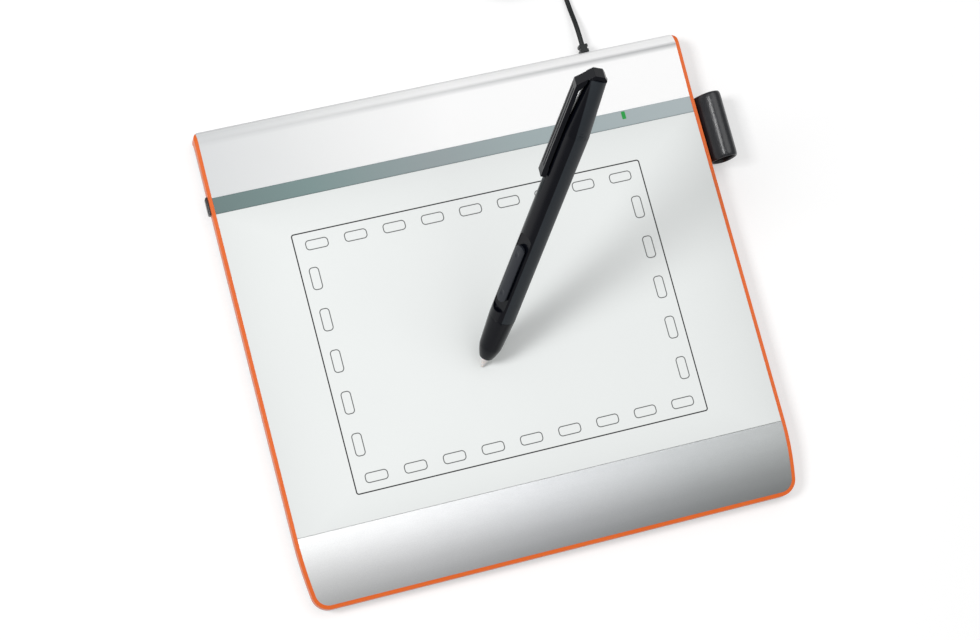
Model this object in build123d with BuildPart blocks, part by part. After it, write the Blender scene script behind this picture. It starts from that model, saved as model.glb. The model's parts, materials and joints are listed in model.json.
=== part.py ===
from build123d import *
from math import ceil, cos, pi, radians, sin, tan
import os

# A pen tablet with its cordless pen, pen loop and USB lead, in millimetres.
# The desk is Z = 0, the user sits at -Y, and the lead leaves at the rear, +Y.
os.makedirs("parts", exist_ok=True)

# Tablet body
tablet_width = 195.5
tablet_depth = 187.8
sheet_level = 9.2
foot_height = 1.0
front_corner = 6.5
rear_corner = 3.5
side_bend_reach = 27.9
side_bend_radius = 150.0

# Side profile of the covers
palm_drop = 2.9
palm_depth = 28.0
palm_overrun = 13.0
strip_depth = 6.45
rear_plate_depth = 26.95
rear_rise = 1.2
rear_rounding = 5.6
rear_lip_level = 2.2
cover_wall = 1.6

# Coloured band round the left, front and right sides
band_width = 1.4
band_height = 5.0
band_hook = 3.0
key_length = 8.0
key_depth = 0.9
key_height = 1.2
key_level = 6.2
key_places = (-50.0, -15.0, 20.0)

# Stack under the working surface
sheet_thickness = 0.6
strip_thickness = 1.0
carrier_thickness = 1.6
board_thickness = 1.2
film_thickness = 0.4
shield_thickness = 0.5
floor_thickness = 1.6
base_wall = 1.6
base_chamfer = 0.8
base_shy = 0.25
fit_gap = 0.1

# Printed working area, five and a half inches by four
area_width = 139.7
area_depth = 101.6
area_x = -1.0
area_y = -4.4

# Sensor board and what it carries
board_width = 160.0
board_front = -62.0
board_rear_inset = 14.9
shield_margin = 5.0
peg_radius = 1.4
peg_gap = 0.15
peg_x = 76.0
peg_y = 50.0
controller_size = 9.0
controller_height = 1.1
controller_x = 22.0
chip_row_y = 67.5
switch_chip_length = 8.0
switch_chip_width = 4.0
switch_chip_height = 1.3
switch_chip_count = 3
switch_chip_pitch = 15.0
switch_chip_x = -38.0
crystal_length = 10.0
crystal_width = 3.6
crystal_height = 1.4
crystal_x = 40.0
connector_width = 9.0
connector_length = 6.0
connector_height = 2.6
connector_inset = 1.0
led_x = 68.0
led_size = 1.6
led_height = 0.6
guide_length = 3.2
guide_width = 1.7
guide_gap = 0.05

# Screws, feet and ribs of the base
screw_radius = 1.0
screw_head_radius = 1.9
screw_head_height = 1.2
screw_length = 4.9
screw_side_inset = 9.75
screw_rear_inset = 15.9
screw_front_inset = 17.9
boss_radius = 3.0
boss_level = 5.0
recess_depth = 1.4
recess_gap = 0.2
board_screw_radius = 0.8
board_screw_head = 1.6
board_screw_head_height = 0.7
board_screw_length = 2.6
board_post_radius = 2.2
board_post_x = 70.0
board_post_inset = 18.7
board_post_shift = 2.0
foot_radius = 5.0
foot_recess = 0.5
foot_side_inset = 17.75
foot_rear_inset = 31.9
foot_front_inset = 33.9
rib_thickness = 1.0
rib_pitch = 32.0
rib_shortfall = 4.0

# Pen loop on the right, slot plug on the left
slot_level = 5.6
slot_height = 2.2
slot_gap = 0.15
loop_inset = 41.0
loop_length = 27.0
loop_width = 9.2
loop_height = 11.2
loop_wall = 1.2
loop_base = 1.4
loop_stand_off = 0.2
loop_corner = 1.9
loop_throat = 1.4
loop_crown_out = 5.2
loop_crown_rise = 0.6
loop_shoulder_in = 0.5
loop_shoulder_drop = 1.2
loop_nose_rise = 1.0
loop_sole_far = 2.4
loop_sole_near = 2.6
strap_length = 18.0
strap_thickness = 1.8
tongue_depth = 9.0
tongue_barb = 0.7
tongue_half = 8.0
tongue_barb_start = -3.6
plug_inset = 29.2
plug_tab_length = 7.0
plug_tab_height = 3.4
plug_tab_out = 1.0
plug_shank_length = 5.4
plug_depth = 4.0
plug_tab_round = 0.6

# Lead, its strain relief and its plug
cord_diameter = 2.0
cord_x = 61.0
cord_level = 4.3
desk_gap = 0.05
relief_width = 3.5
relief_height = 3.6
relief_length = 3.35
relief_notch = 0.45
relief_notch_length = 0.8
relief_neck = 2.6
relief_flange = 4.6
relief_flange_thickness = 1.2
coil_y = 143.0
coil_layers = 4
coil_layer_steps = 8
coil_inner_radius = 7.0
coil_step = 2.95
coil_climb = 2.6
usb_length = 31.0
usb_width = 15.6
usb_height = 7.8
usb_corner = 2.2
usb_bevel = 0.8
usb_grip_count = 5
usb_grip_pitch = 2.4
usb_grip_depth = 0.4
usb_grip_width = 1.0
usb_grip_margin = 3.4
usb_neck_length = 7.0
usb_neck_radius = 2.6
usb_neck_rings = 3
usb_neck_ring = 0.9
usb_neck_taper = 3.0
shell_width = 12.0
shell_height = 4.5
shell_shown = 12.0
shell_held = 6.0
shell_sheet = 0.35
shell_window = 2.4
shell_window_place = 5.5
shell_window_offset = 2.6
tongue_thickness = 1.9
contact_count = 4
contact_width = 1.0
contact_pitch = 2.3
contact_depth = 0.2
contact_set_back = 1.0

# Pen pose: where its tip stands and how it leans
pen_x = -12.3
pen_y = -19.0
pen_tip_gap = 0.05
pen_elevation = 51.1
pen_heading = 59.8
clip_turn = -76.0
rocker_turn = -45.0

# Pen, measured along its axis from the tip
pen_length = 139.1
nib_cone = 6.0
nib_tip_radius = 0.5
nib_base_radius = 1.9
nib_shank_radius = 0.9
nib_travel = 0.8
nib_mouth_gap = 0.15
nib_mouth_extra = 1.0
slide_gap = 0.06
holder_radius = 2.4
holder_start = 22.8
holder_length = 2.2
nose_front = 5.6
nose_front_radius = 2.7
nose_belly = 11.5
nose_belly_radius = 4.4
nose_end = 26.0
nose_chamber = 9.0
nose_bore_start = 14.5
nose_funnel_radius = 2.8
nose_lean = 0.42
core_radius = 2.1
core_length = 13.0
winding_thickness = 0.5
winding_inset = 1.5
core_gap = 0.3
sensor_gap = 0.2
sensor_radius = 3.1
sensor_length = 6.0
barrel_radius = 5.15
barrel_front_bore = 3.2
battery_bore = 4.3
bore_step_inset = 0.8
pocket_start = 30.0
pocket_end = 66.4
pocket_width = 6.2
pocket_level = 3.85
pocket_corner = 2.6
rocker_start = 35.0
rocker_end = 61.2
rocker_width = 4.6
rocker_bottom = 4.4
rocker_top = 5.5
rocker_swing = 2.0
rocker_boss_width = 2.8
rocker_boss_length = 4.0
rocker_boss_bottom = 2.5
rocker_stem_place = 9.0
rocker_stem_radius = 1.2
rocker_dimple_depth = 0.25
rocker_dimple_radius = 4.0
rocker_gap = 0.3
rocker_end_round = 2.2
rocker_stem_bottom = 0.75
rocker_pin_radius = 0.5
rocker_pin_level = 3.2
rocker_pin_length = 6.0
pen_board_width = 4.4
pen_board_thickness = 0.8
pen_board_level = -1.4
pen_board_start = 32.4
pen_board_end = 62.0
tact_size = 3.2
tact_height = 1.3
tact_button_radius = 0.8
tact_button_height = 0.4
contact_thickness = 0.6
contact_radius = 3.9
battery_start = 67.8
battery_diameter = 8.3
battery_room = 3.5
battery_nub_radius = 1.6
battery_nub_height = 0.8
crown_height = 2.0
cap_length = 24.1
cap_joint_radius = 5.1
spigot_length = 3.0
cap_chamber_radius = 3.4
cap_chamber_depth = 3.0
cap_end_radius = 3.5
cap_mark_turn = 20.0
cap_mark_inset = 1.6
cap_mark_count = 3
cap_mark_pitch = 1.3
cap_mark_length = 3.0
cap_mark_width = 0.5
cap_mark_depth = 0.25
spring_wire = 0.5
spring_radius = 2.6
spring_half_turns = 8
nose_spigot_length = 1.2
nose_spigot_radius = 3.85

# Pen clip and crown, as distances from the pen's axis
crown_width = 5.6
crown_back = 2.8
crown_back_bevel = 1.2
crown_flat = 1.9
clip_out = 7.3
clip_drop = 5.2
clip_width = 5.0
clip_thickness = 1.7
clip_reach = 45.9
clip_foot_reach = 5.3
clip_foot_length = 4.0
clip_root_reach = 7.5
clip_web = 3.9
clip_web_reach = 4.0
clip_groove_offset = 1.1
clip_groove_width = 0.6
clip_groove_depth = 0.35

# Levels and places worked out from the sizes above
half_width = tablet_width / 2
half_depth = tablet_depth / 2
palm_start = palm_depth - half_depth
side_bend_start = side_bend_reach - half_depth
strip_rear = half_depth - rear_plate_depth
strip_front = strip_rear - strip_depth
loop_y = half_depth - loop_inset
plug_y = half_depth - plug_inset
board_rear = half_depth - board_rear_inset
board_post_y = half_depth - board_post_inset
tongue_end = band_width - tongue_depth + slot_gap
tablet_x = (plug_tab_out - loop_width - loop_stand_off) / 2
floor_bottom = foot_height
floor_top = floor_bottom + floor_thickness
sheet_bottom = sheet_level - sheet_thickness
strip_bottom = sheet_level - strip_thickness
carrier_bottom = sheet_bottom - carrier_thickness
board_bottom = carrier_bottom - board_thickness
film_bottom = board_bottom - film_thickness
shield_bottom = film_bottom - shield_thickness
screw_seat = floor_bottom + recess_depth
rear_level = sheet_level + rear_rise
palm_radius = (palm_depth ** 2 + palm_drop ** 2) / (2 * palm_drop)
past_front = palm_depth + palm_overrun
palm_end = sheet_level - palm_radius + (palm_radius ** 2 - past_front ** 2) ** 0.5
skirt_radius_drop = palm_radius - (palm_radius ** 2 - (palm_depth - band_hook) ** 2) ** 0.5
skirt_front = sheet_level - skirt_radius_drop - band_height - floor_bottom
inner_half_width = half_width - band_width
wall_inside = band_width + base_wall
rear_wall_inside = half_depth - wall_inside
sheet_middle = (strip_front + palm_start) / 2
strip_middle = (strip_front + strip_rear) / 2
zone_middle = (strip_rear + palm_start) / 2
zone_depth = strip_rear - palm_start
board_middle = (board_front + board_rear) / 2
cut = 40.0
cap_end = pen_length - crown_height
cap_joint = cap_end - cap_length
cap_chamber_end = cap_joint + cap_chamber_depth
bore_step = battery_start - bore_step_inset
battery_end = cap_joint - battery_room
clip_end = pen_length - clip_reach
clip_root_start = pen_length - clip_root_reach
clip_web_start = pen_length - clip_web_reach

tablet = Plane(origin=(tablet_x, 0, 0))
side_view = Plane(origin=(tablet_x, 0, 0), x_dir=(0, 1, 0), z_dir=(1, 0, 0))
upright = (Align.CENTER, Align.CENTER, Align.MIN)
hanging = (Align.CENTER, Align.CENTER, Align.MAX)


def plan_outline(inset=0.0):
    """The tablet seen from above, drawn in by an inset: its sides bend in a little beside the palm rest."""
    side, end = half_width - inset, half_depth - inset
    bend_reach = ((side_bend_radius - inset) ** 2 - (end + side_bend_start) ** 2) ** 0.5
    front_half = half_width - side_bend_radius + bend_reach
    with BuildSketch() as outline:
        with BuildLine():
            Line((front_half, -end), (-front_half, -end))
            TangentArc((-side, side_bend_start), (-front_half, -end), tangent=(0, -1))
            Polyline((-side, side_bend_start), (-side, end), (side, end), (side, side_bend_start))
            TangentArc((side, side_bend_start), (front_half, -end), tangent=(0, -1))
        make_face()
        fillet(outline.vertices().group_by(Axis.Y)[0], front_corner - inset)
        fillet(outline.vertices().group_by(Axis.Y)[-1], rear_corner - inset)
    return outline.sketch


def cover_plan():
    """The plan inside the band, open to the rear, where the covers lie."""
    with BuildSketch() as plan:
        Rectangle(2 * inner_half_width, half_depth, align=(Align.CENTER, Align.MIN))
        add(plan_outline(band_width))
        add(plan_outline(), mode=Mode.INTERSECT)
    return plan.sketch


def side_outline(inset=0.0):
    """The tablet seen from the right, with its palm rest running on past the front edge."""
    crest = half_depth - rear_rounding
    with BuildSketch() as outline:
        with BuildLine():
            Line((half_depth, -cut), (half_depth, rear_level - rear_rounding))
            TangentArc((half_depth, rear_level - rear_rounding), (crest, rear_level), tangent=(0, 1))
            Polyline((crest, rear_level), (strip_rear, sheet_level), (palm_start, sheet_level))
            TangentArc((palm_start, sheet_level), (palm_start - past_front, palm_end), tangent=(-1, 0))
            Polyline((palm_start - past_front, palm_end), (palm_start - past_front, -cut), (half_depth, -cut))
        make_face()
        if inset:
            offset(amount=-inset, mode=Mode.REPLACE)
    return outline.sketch


def prism(plan, profile, bottom):
    """The solid that has this plan and this side profile, from a level upward."""
    with BuildPart() as body:
        with BuildSketch(tablet.offset(bottom)):
            add(plan)
        extrude(amount=cut)
        with BuildSketch(side_view):
            add(profile)
        extrude(amount=half_width, both=True, mode=Mode.INTERSECT)
    return body.part


def spots(places, level):
    """Locations on the tablet at one level."""
    return Locations([(tablet_x + x, y, level) for x, y in places])


screw_x = half_width - screw_side_inset
screw_rear = [(x, half_depth - screw_rear_inset) for x in (-screw_x, screw_x)]
screw_middle = [(x, 0) for x in (-screw_x, screw_x)]
screw_front = [(x, screw_front_inset - half_depth) for x in (-screw_x, screw_x)]
board_posts = [(x, board_post_y) for x in (-board_post_x, 0, board_post_x + board_post_shift)]
pegs = [(area_x + x, area_y + y) for x in (-peg_x, peg_x) for y in (-peg_y, peg_y)]
foot_x = half_width - foot_side_inset
foot_rows = (foot_front_inset - half_depth, half_depth - foot_rear_inset)
feet = [(x, y) for x in (-foot_x, foot_x) for y in foot_rows]
key_sites = [(side * inner_half_width, y) for side in (-1, 1) for y in key_places]

# Base cover: the tray with its ribs, screw bosses and board posts
with BuildSketch() as skirt_profile:
    with Locations((-band_hook, -band_height)):
        add(side_outline())
    with Locations((half_depth, rear_lip_level)):
        Rectangle(half_depth, cut, align=(Align.MAX, Align.MAX))

with BuildSketch() as wall_profile:
    with Locations((0, -cover_wall)):
        add(side_outline())
    Rectangle(cut * 4, cut * 4, align=(Align.MIN, Align.CENTER), mode=Mode.SUBTRACT)
    add(side_outline(cover_wall))
    with Locations((zone_middle, carrier_bottom)):
        Rectangle(zone_depth, cut, align=(Align.CENTER, Align.MIN), mode=Mode.SUBTRACT)

with BuildPart() as base_cover:
    add(prism(plan_outline(base_shy), skirt_profile.sketch, floor_bottom))
    chamfer(base_cover.faces().sort_by(Axis.Z)[0].edges(), min(base_chamfer, 0.9 * skirt_front))
    add(prism(plan_outline(band_width), wall_profile.sketch, floor_top))
    with BuildSketch(tablet.offset(floor_top)):
        add(plan_outline(wall_inside))
    extrude(amount=cut, mode=Mode.SUBTRACT)
    with spots([(area_x, area_y + k * rib_pitch) for k in (-1, 0, 1)], floor_top):
        Box(board_width - rib_shortfall, rib_thickness, shield_bottom - floor_top, align=upright)
    with spots([(area_x - area_width / 4, area_y), (area_x + area_width / 4, area_y)], floor_top):
        Box(rib_thickness, 2 * rib_pitch, shield_bottom - floor_top, align=upright)
    with spots(screw_rear + screw_middle + screw_front, floor_top):
        Cylinder(boss_radius, boss_level - floor_top, align=upright)
    with spots(board_posts, floor_top):
        Cylinder(board_post_radius, board_bottom - floor_top, align=upright)
    with spots(screw_rear + screw_middle + screw_front, floor_bottom):
        Cylinder(screw_head_radius + recess_gap, recess_depth, align=upright, mode=Mode.SUBTRACT)
        Cylinder(screw_radius + recess_gap, cut, align=upright, mode=Mode.SUBTRACT)
    with spots(board_posts, board_bottom):
        Cylinder(board_screw_radius, board_screw_length, align=hanging, mode=Mode.SUBTRACT)
    with spots(feet, floor_bottom):
        Cylinder(foot_radius, foot_recess, align=upright, mode=Mode.SUBTRACT)
    with spots(key_sites, key_level):
        Box(2 * (key_depth + fit_gap), key_length + 2 * fit_gap, key_height + 2 * fit_gap, mode=Mode.SUBTRACT)
    with spots([(half_width, loop_y)], slot_level):
        Box(2 * tongue_depth, strap_length + 2 * slot_gap, slot_height, mode=Mode.SUBTRACT)
    with spots([(-half_width, plug_y)], slot_level):
        Box(2 * tongue_depth, plug_shank_length + 2 * slot_gap, slot_height, mode=Mode.SUBTRACT)
    with spots([(cord_x, half_depth)], cord_level - relief_neck / 2):
        Box(relief_neck + fit_gap, 3 * wall_inside, cut, align=upright, mode=Mode.SUBTRACT)
base_cover.part.label = "base_cover"
export_step(base_cover.part, "parts/base_cover.step")

# Side band: one coloured U that follows the side profile and hooks over the rear corners
with BuildSketch() as band_profile:
    add(side_outline())
    with Locations((-band_hook, -band_height)):
        add(side_outline(), mode=Mode.SUBTRACT)
    with Locations((half_depth, rear_lip_level)):
        Rectangle(half_depth, cut, align=(Align.MAX, Align.MAX), mode=Mode.SUBTRACT)

with BuildPart() as side_band:
    with BuildSketch(tablet.offset(floor_bottom)):
        add(plan_outline())
        add(cover_plan(), mode=Mode.SUBTRACT)
    extrude(amount=cut)
    with BuildSketch(side_view):
        add(band_profile.sketch)
    extrude(amount=half_width, both=True, mode=Mode.INTERSECT)
    with spots(key_sites, key_level):
        Box(2 * key_depth, key_length, key_height)
    with spots([(half_width, loop_y)], slot_level):
        Box(3 * band_width, strap_length + 2 * slot_gap, slot_height, mode=Mode.SUBTRACT)
    with spots([(-half_width, plug_y)], slot_level):
        Box(3 * band_width, plug_shank_length + 2 * slot_gap, slot_height, mode=Mode.SUBTRACT)
side_band.part.label = "side_band"
export_step(side_band.part, "parts/side_band.step")

# Rear cover: the plate behind the strip, rolled over the rear edge
with BuildSketch() as rear_profile:
    add(side_outline())
    add(side_outline(cover_wall), mode=Mode.SUBTRACT)
    with Locations((strip_rear, rear_lip_level)):
        Rectangle(cut, cut, align=(Align.MIN, Align.MIN), mode=Mode.INTERSECT)

with BuildPart() as rear_cover:
    add(prism(cover_plan(), rear_profile.sketch, floor_bottom))
    with spots(screw_rear, boss_level):
        Cylinder(boss_radius, sheet_bottom - boss_level, align=upright)
        Cylinder(screw_radius, screw_seat + screw_length - boss_level, align=upright, mode=Mode.SUBTRACT)
    with spots([(cord_x, half_depth)], floor_bottom):
        Box(relief_neck + fit_gap, 3 * cover_wall, cord_level + relief_neck / 2 + fit_gap - floor_bottom,
            align=upright, mode=Mode.SUBTRACT)
rear_cover.part.label = "rear_cover"
export_step(rear_cover.part, "parts/rear_cover.step")

# Palm rest: the convex plate in front of the sheet
with BuildSketch() as palm_profile:
    add(side_outline())
    with Locations((0, -cover_wall)):
        add(side_outline(), mode=Mode.SUBTRACT)
    with Locations((palm_start - fit_gap, 0)):
        Rectangle(cut, cut, align=(Align.MAX, Align.MIN), mode=Mode.INTERSECT)

with BuildPart() as palm_rest:
    add(prism(cover_plan(), palm_profile.sketch, floor_bottom))
    with spots(screw_front, boss_level):
        Cylinder(boss_radius, carrier_bottom + cover_wall / 2 - boss_level, align=upright)
        Cylinder(screw_radius, screw_seat + screw_length - boss_level, align=upright, mode=Mode.SUBTRACT)
palm_rest.part.label = "palm_rest"
export_step(palm_rest.part, "parts/palm_rest.step")

# Carrier: the plate under sheet and strip, pegged through the sensor board
with BuildPart() as carrier:
    with BuildSketch(tablet.offset(carrier_bottom)):
        with Locations((0, zone_middle)):
            Rectangle(2 * inner_half_width, zone_depth)
    extrude(amount=carrier_thickness)
    with spots(pegs, carrier_bottom):
        Cylinder(peg_radius, board_thickness, align=hanging)
    with spots(screw_middle, carrier_bottom):
        Cylinder(boss_radius, carrier_bottom - boss_level, align=hanging)
    with spots(screw_middle, boss_level):
        Cylinder(screw_radius, screw_seat + screw_length - boss_level, align=upright, mode=Mode.SUBTRACT)
    with spots([(0, strip_middle)], strip_bottom):
        Box(2 * inner_half_width, strip_depth, cut, align=upright, mode=Mode.SUBTRACT)
    with spots([(led_x, strip_middle)], carrier_bottom):
        Box(guide_length + 2 * guide_gap, guide_width + 2 * guide_gap, cut, align=upright, mode=Mode.SUBTRACT)
carrier.part.label = "carrier"
export_step(carrier.part, "parts/carrier.step")

# Working surface sheet and the tinted strip behind it
with BuildPart() as surface_sheet:
    with spots([(0, sheet_middle)], sheet_bottom):
        Box(2 * inner_half_width, strip_front - palm_start, sheet_thickness, align=upright)
surface_sheet.part.label = "surface_sheet"
export_step(surface_sheet.part, "parts/surface_sheet.step")

with BuildPart() as lens_strip:
    with spots([(0, strip_middle)], strip_bottom):
        Box(2 * inner_half_width, strip_depth, strip_thickness, align=upright)
lens_strip.part.label = "lens_strip"
export_step(lens_strip.part, "parts/lens_strip.step")

# Sensor board under the carrier, with its peg holes
with BuildPart() as sensor_board:
    with BuildSketch(tablet.offset(board_bottom)) as board_plan:
        with Locations((area_x, board_middle)):
            Rectangle(board_width, board_rear - board_front)
        fillet(board_plan.vertices(), peg_radius)
        with Locations(*pegs):
            Circle(peg_radius + peg_gap, mode=Mode.SUBTRACT)
        with Locations(*board_posts):
            Circle(board_screw_radius + peg_gap, mode=Mode.SUBTRACT)
    extrude(amount=board_thickness)
sensor_board.part.label = "sensor_board"
export_step(sensor_board.part, "parts/sensor_board.step")

# Insulating film and steel shield below the sensing area
with BuildPart() as shield_film:
    with spots([(area_x, area_y)], film_bottom):
        Box(area_width + 2 * shield_margin, area_depth + 2 * shield_margin, film_thickness, align=upright)
    with spots(pegs, film_bottom):
        Cylinder(peg_radius + peg_gap, cut, mode=Mode.SUBTRACT)
shield_film.part.label = "shield_film"
export_step(shield_film.part, "parts/shield_film.step")

with BuildPart() as shield_plate:
    with spots([(area_x, area_y)], shield_bottom):
        Box(area_width + 2 * shield_margin, area_depth + 2 * shield_margin, shield_thickness, align=upright)
    with spots(pegs, shield_bottom):
        Cylinder(peg_radius + peg_gap, cut, mode=Mode.SUBTRACT)
shield_plate.part.label = "shield_plate"
export_step(shield_plate.part, "parts/shield_plate.step")

# Chips, crystal, lamp and connector on the board
with BuildPart() as controller_chip:
    with spots([(controller_x, chip_row_y)], board_bottom):
        Box(controller_size, controller_size, controller_height, align=hanging)
    chamfer(controller_chip.edges().filter_by(Axis.Z), controller_height / 2)
controller_chip.part.label = "controller_chip"
export_step(controller_chip.part, "parts/controller_chip.step")

with BuildPart() as switch_chips:
    with spots([(switch_chip_x + k * switch_chip_pitch, chip_row_y) for k in range(switch_chip_count)],
               board_bottom):
        Box(switch_chip_length, switch_chip_width, switch_chip_height, align=hanging)
switch_chips.part.label = "switch_chips"
export_step(switch_chips.part, "parts/switch_chips.step")

with BuildPart() as crystal:
    with BuildSketch(tablet.offset(board_bottom)):
        with Locations((crystal_x, chip_row_y)):
            SlotOverall(crystal_length, crystal_width)
    extrude(amount=-crystal_height)
crystal.part.label = "crystal"
export_step(crystal.part, "parts/crystal.step")

connector_rear = board_rear - connector_inset
with BuildPart() as cable_connector:
    with spots([(cord_x, connector_rear - connector_length / 2)], board_bottom):
        Box(connector_width, connector_length, connector_height, align=hanging)
cable_connector.part.label = "cable_connector"
export_step(cable_connector.part, "parts/cable_connector.step")

with BuildPart() as status_led:
    with spots([(led_x, strip_middle)], carrier_bottom):
        Box(led_size, led_size, led_height, align=upright)
status_led.part.label = "status_led"
export_step(status_led.part, "parts/status_led.step")

guide_bottom = carrier_bottom + led_height + guide_gap
with BuildPart() as light_guide:
    with spots([(led_x, strip_middle)], guide_bottom):
        Box(guide_length, guide_width, strip_bottom - guide_bottom, align=upright)
light_guide.part.label = "light_guide"
export_step(light_guide.part, "parts/light_guide.step")

# Screws and feet
with BuildPart() as case_screws:
    with spots(screw_rear + screw_middle + screw_front, screw_seat):
        Cylinder(screw_head_radius, screw_head_height, align=hanging)
        Cylinder(screw_radius, screw_length, align=upright)
case_screws.part.label = "case_screws"
export_step(case_screws.part, "parts/case_screws.step")

with BuildPart() as board_screws:
    with spots(board_posts, carrier_bottom):
        Cylinder(board_screw_head, board_screw_head_height, align=upright)
        Cylinder(board_screw_radius, board_screw_length + board_thickness, align=hanging)
board_screws.part.label = "board_screws"
export_step(board_screws.part, "parts/board_screws.step")

with BuildPart() as rubber_feet:
    with spots(feet, floor_bottom + foot_recess):
        Cylinder(foot_radius, floor_bottom + foot_recess, align=hanging)
rubber_feet.part.label = "rubber_feet"
export_step(rubber_feet.part, "parts/rubber_feet.step")

# Strain relief: outer block with two notches, neck through the wall, flange inside it
with BuildPart() as strain_relief:
    with spots([(cord_x, half_depth)], cord_level):
        Box(relief_width, relief_length, relief_height, align=(Align.CENTER, Align.MIN, Align.CENTER))
        Box(relief_neck, wall_inside, relief_neck, align=(Align.CENTER, Align.MAX, Align.CENTER))
    notch_y = half_depth + relief_length / 2
    with spots([(cord_x - relief_width / 2, notch_y), (cord_x + relief_width / 2, notch_y)], cord_level):
        Box(2 * relief_notch, relief_notch_length, relief_height, mode=Mode.SUBTRACT)
    with spots([(cord_x, rear_wall_inside)], cord_level):
        Box(relief_flange, relief_flange_thickness, relief_neck,
            align=(Align.CENTER, Align.MAX, Align.CENTER))
strain_relief.part.label = "strain_relief"
export_step(strain_relief.part, "parts/strain_relief.step")

with BuildPart() as inner_lead:
    with BuildSketch(Plane(origin=(tablet_x + cord_x, connector_rear, cord_level), z_dir=(0, 1, 0))):
        Circle(cord_diameter / 2)
    extrude(amount=rear_wall_inside - relief_flange_thickness - connector_rear)
inner_lead.part.label = "inner_lead"
export_step(inner_lead.part, "parts/inner_lead.step")


def biarc(start, start_direction, end, end_direction):
    """Two arcs that join two points smoothly, leaving and arriving in the given directions."""
    chord = end - start
    turn = 1 - start_direction.dot(end_direction)
    along = chord.dot(start_direction + end_direction)
    reach = (-along + (along ** 2 + 2 * turn * chord.dot(chord)) ** 0.5) / (2 * turn)
    first_corner = start + start_direction * reach
    last_corner = end - end_direction * reach
    middle = (first_corner + last_corner) * 0.5
    TangentArc(start, middle, tangent=start_direction)
    TangentArc(middle, end, tangent=last_corner - first_corner)


def winding(frame, stations, pitch=0.0):
    """A path wound round a plane's axis; each station is the turns made, the radius and the level."""
    ends = []
    for turns, radius, level in stations:
        outward = frame.x_dir.rotate(Axis((0, 0, 0), frame.z_dir), 360 * turns)
        onward = frame.z_dir.cross(outward) * (2 * pi * radius) + frame.z_dir * pitch
        ends.append((frame.origin + outward * radius + frame.z_dir * level, onward.normalized()))
    for (start, leaving), (end, arriving) in zip(ends, ends[1:]):
        biarc(start, leaving, end, arriving)


def least_gap(path, diameter, apart):
    """The least gap between stretches of a wound tube that lie further apart along it than a length."""
    steps = 1500
    points = [path.position_at(k / steps) for k in range(steps + 1)]
    skip = ceil(apart / path.length * steps)
    least = min((points[k] - points[m]).length for k in range(0, steps, 2) for m in range(k + skip, steps))
    return least - diameter


# Lead, first stretch: out of the strain relief and down to the desk
desk_level = cord_diameter / 2 + desk_gap
coil_outer_radius = coil_inner_radius + coil_step / 2 * coil_layer_steps
coil_x = cord_x - coil_outer_radius
lead_route = [
    (cord_x, half_depth + relief_length, cord_level),
    (cord_x, 104.5, cord_level),
    (cord_x - 0.2, 112.5, 1.9),
    (cord_x - 0.5, 121.0, desk_level),
    (cord_x, 131.0, desk_level),
    (cord_x, coil_y, desk_level),
]


def corner_radii(route):
    """For each corner of a route, as large an arc as its two runs allow."""
    radii = []
    for before, corner, after in zip(route, route[1:], route[2:]):
        arrive = Vector(*corner) - Vector(*before)
        leave = Vector(*after) - Vector(*corner)
        half_turn = radians(arrive.get_angle(leave)) / 2
        radii.append(0.45 * min(arrive.length, leave.length) / tan(half_turn))
    return radii


def free_route(route, name):
    """The path of a free stretch, printed with its radii."""
    points = [(tablet_x + x, y, z) for x, y, z in route]
    radii = corner_radii(points)
    print(name, "bend radii", [round(r, 1) for r in radii])
    FilletPolyline(*points, radius=radii)


with BuildPart() as cord_run:
    with BuildLine() as lead_path:
        free_route(lead_route, "lead run")
    with BuildSketch(Plane(origin=lead_path.line @ 0, z_dir=lead_path.line % 0)):
        Circle(cord_diameter / 2)
    sweep()
cord_run.part.label = "cord_run"
export_step(cord_run.part, "parts/cord_run.step")

# Lead, stored length: neat turns that spiral in and out again, four layers high
coil_stations = []
for layer in range(coil_layers):
    for step in range(coil_layer_steps + 1):
        place = step if layer % 2 == 0 else coil_layer_steps - step
        radius = coil_outer_radius - coil_step / 2 * place
        coil_stations.append((len(coil_stations) / 2, radius, desk_level + coil_climb * layer))
last_turns, last_radius, coil_top = coil_stations[-2]
coil_stations[-1] = (last_turns + 0.25, last_radius + coil_step / 4, coil_top)
coil_end_radius = coil_stations[-1][1]

with BuildPart() as cord_coil:
    with BuildLine() as coil_path:
        winding(Plane(origin=(tablet_x + coil_x, coil_y, 0)), coil_stations)
    with BuildSketch(Plane(origin=coil_path.line @ 0, z_dir=coil_path.line % 0)):
        Circle(cord_diameter / 2)
    sweep()
cord_coil.part.label = "cord_coil"
export_step(cord_coil.part, "parts/cord_coil.step")
coil_wire = coil_path.wires()[0]
print("coil turns", coil_stations[-1][0], "length", round(coil_wire.length))
print("coil least gap", round(least_gap(coil_wire, cord_diameter, pi * coil_inner_radius), 2))

# Lead, last stretch: off the top layer, down to the desk and up to the plug
tail_y = coil_y + coil_end_radius
usb_level = desk_gap + usb_height / 2
tail_route = [
    (coil_x, tail_y, coil_top),
    (coil_x - 6.5, tail_y, coil_top),
    (coil_x - 15.0, tail_y - 0.6, 5.2),
    (coil_x - 24.0, tail_y - 1.8, desk_level),
    (coil_x - 33.0, tail_y - 2.2, desk_level),
    (coil_x - 41.5, tail_y - 3.0, usb_level),
    (coil_x - 47.0, tail_y - 3.0, usb_level),
]
with BuildPart() as cord_tail:
    with BuildLine() as tail_path:
        free_route(tail_route, "lead tail")
    with BuildSketch(Plane(origin=tail_path.line @ 0, z_dir=tail_path.line % 0)):
        Circle(cord_diameter / 2)
    sweep()
cord_tail.part.label = "cord_tail"
export_step(cord_tail.part, "parts/cord_tail.step")

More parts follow.
